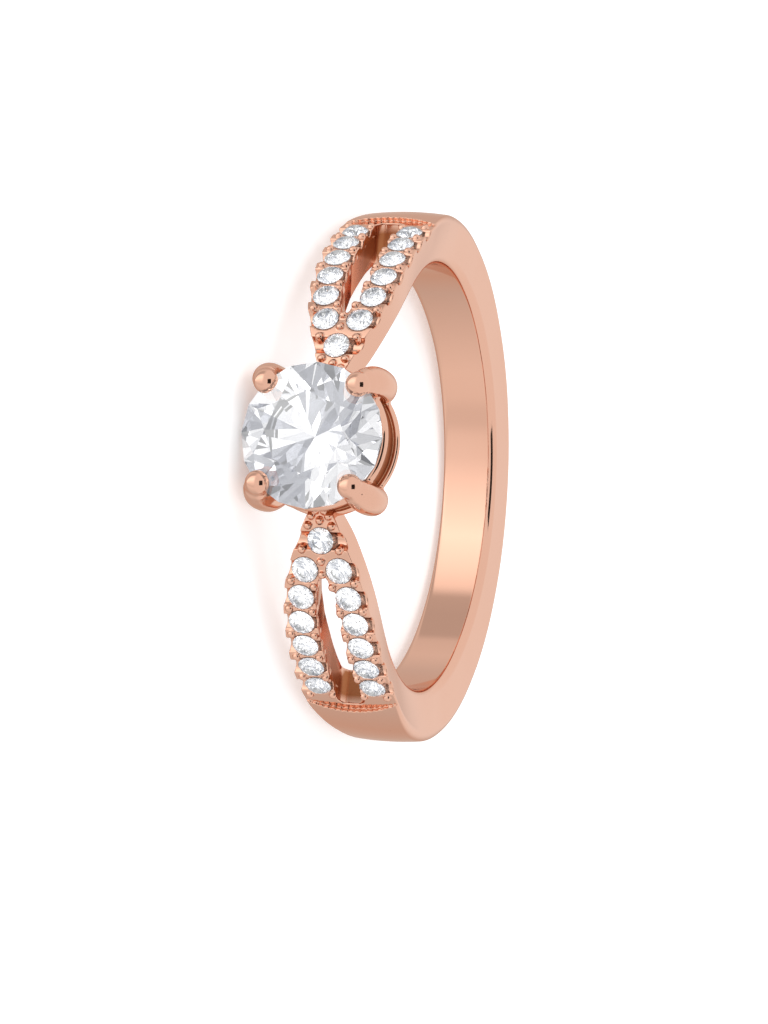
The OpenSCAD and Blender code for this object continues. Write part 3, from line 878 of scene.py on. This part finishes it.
SPARKS = {
    "front_spark": (0.08, -0.32, 0.30),
    "left_spark": (-0.36, -0.22, 0.16),
    "right_spark": (0.36, -0.12, 0.22),
}
soft_light("overhead", (-0.30, -0.10, 0.5), size=0.28, power=0.4)
for name, spot in SPARKS.items():
    soft_light(name, spot, size=0.09, power=0.09)

# %% [markdown]
# ## The tent's walls
# What polished metal shows is the room. From the picture, the inside of the shank runs from dull at its top
# through a bright stretch to a sudden dull patch near its foot, so the tent has a bright wall on one side
# and dimmer cloth beside it. A ramp round the horizon says how bright each direction is. That is enough,
# because the band turns through the directions one after another. The cloth at the back has a warmer tone,
# and the roof is even.

# %% Tent
# direction round the ring in degrees, 0 towards the front, and how bright the tent is there
WALLS = [
    (-180, 0.64), (-150, 0.66), (-124, 0.70), (-106, 0.84), (-92, 0.80), (-88, 0.60), (-72, 0.60),
    (-60, 0.64), (-54, 1.20), (-44, 1.42), (-24, 1.72), (-2, 1.38), (18, 1.06), (30, 0.99), (37, 0.86),
    (44, 0.86), (52, 0.94), (66, 0.95), (98, 0.80), (127, 0.68), (150, 0.66), (180, 0.64),
]
BRIGHTEST = max(shade for _, shade in WALLS)
BACK_WARMTH, BACK_FROM = (1.0, 0.82, 0.72), 140
ROOF_SHADE, ROOF_FROM, ROOF_FULL = 0.96, -0.25, 0.15
tent = Finish("white_tent", bpy.data.worlds, "OutputWorld")
way = tent.node("TexCoord")
east, front, rise = (tent.node("SeparateXYZ", output=k, Vector=way) for k in range(3))
round_ring = tent.node("Math", {"operation": "ARCTAN2"}, i0=east, i1=0 - front)
stops = []
for at, shade in WALLS:
    warm = BACK_WARMTH if abs(at) > BACK_FROM else (1, 1, 1)
    stops.append((0.5 + at / 360, tuple(shade * w / BRIGHTEST for w in warm) + (1,)))
walls = tent.node("ValToRGB", {"stops": stops}, Fac=round_ring * (0.5 / math.pi) + 0.5)
above = tent.node(
    "MapRange", {"interpolation_type": "SMOOTHSTEP"}, Value=rise, From_Min=ROOF_FROM, From_Max=ROOF_FULL
)
roof = ROOF_SHADE / BRIGHTEST
cloth = tent.blend(above, walls, (roof, roof, 1.01 * roof, 1))
bpy.context.scene.world = tent.done(tent.node("Background", Color=cloth, Strength=BRIGHTEST))
print("tent walls", len(WALLS), "stops")

# %% [markdown]
# ## A dark card
# A claw's ball mirrors the whole tent, and without something dark in it the ball looks flat. The card hangs
# over the ring towards the camera, where the balls and the hole's rolled rim both pick it up as a small
# black mark. Only reflections see it.

# %% Dark card
def reflected_card(name, towards, distance, width, height):
    """A black card that only reflections see, hung towards a direction from the ring."""
    side = Vector(towards).cross((0, 0, 1)).normalized()
    up = side.cross(Vector(towards)).normalized()
    middle = Vector(towards).normalized() * distance
    half_side, half_up = side * width / 2, up * height / 2
    corners = [middle + half_side * a + half_up * b for a, b in SHEET_CORNERS]
    felt = Finish(name)
    fuzz = felt.node("TexNoise", Vector=felt.node("TexCoord", output=3), Scale=90.0, Detail=2.0)
    colour = felt.blend(fuzz, (0.010, 0.009, 0.008, 1), (0.006, 0.006, 0.006, 1))
    dull = felt.done(felt.node("BsdfPrincipled", Base_Color=colour, Roughness=1.0))
    card = stage_sheet(name, corners, dull)
    card.visible_camera = card.visible_diffuse = card.visible_shadow = card.visible_transmission = False


reflected_card("lens_card", (0.10, -0.52, 0.82), distance=0.35, width=0.26, height=0.21)
bpy.context.scene.view_settings.view_transform = "Standard"
print("dark card hung")

# %% [markdown]
# ## The camera
# The photograph was taken with a long lens from the ring's open side. The camera's turn was fitted to the
# picture's own outlines: its three axes below are given in the ring's frame as shares of the finger axis,
# the picture's up and the way from the large stone to the back.

# %% Camera
FOCAL_PIXELS, LONG_SIDE = 6000.0, 1024.0
SENSOR = 36.0
eye_axes = np.array([
    [0.9466, 0.0804, -0.3122], [0.0404, -0.9904, -0.1326], [-0.3199, 0.1129, -0.9407],
])
ring_from_eye = np.array([0.7263, -1.3951, 232.647])
lying = turn_to_rest([[0, 0, 1], [-1, 0, 0], [0, -1, 0]])
axes = eye_axes @ lying
standpoint = lay_down([[0, 0, 0]])[0] - MM * axes.T @ ring_from_eye
camera = bpy.data.cameras.new("portrait")
camera.sensor_width = SENSOR
camera.lens = FOCAL_PIXELS * SENSOR / LONG_SIDE
camera.clip_start, camera.clip_end = 0.01, 20
eye = bpy.data.objects.new("portrait", camera)
facing = Matrix([axes[0], -axes[1], -axes[2]]).transposed()
eye.matrix_world = Matrix.Translation(Vector(standpoint)) @ facing.to_4x4()
bpy.context.scene.collection.objects.link(eye)
bpy.context.scene.camera = eye
print("lens", round(camera.lens, 1), "mm, camera at", np.round(standpoint / MM, 1), "mm")
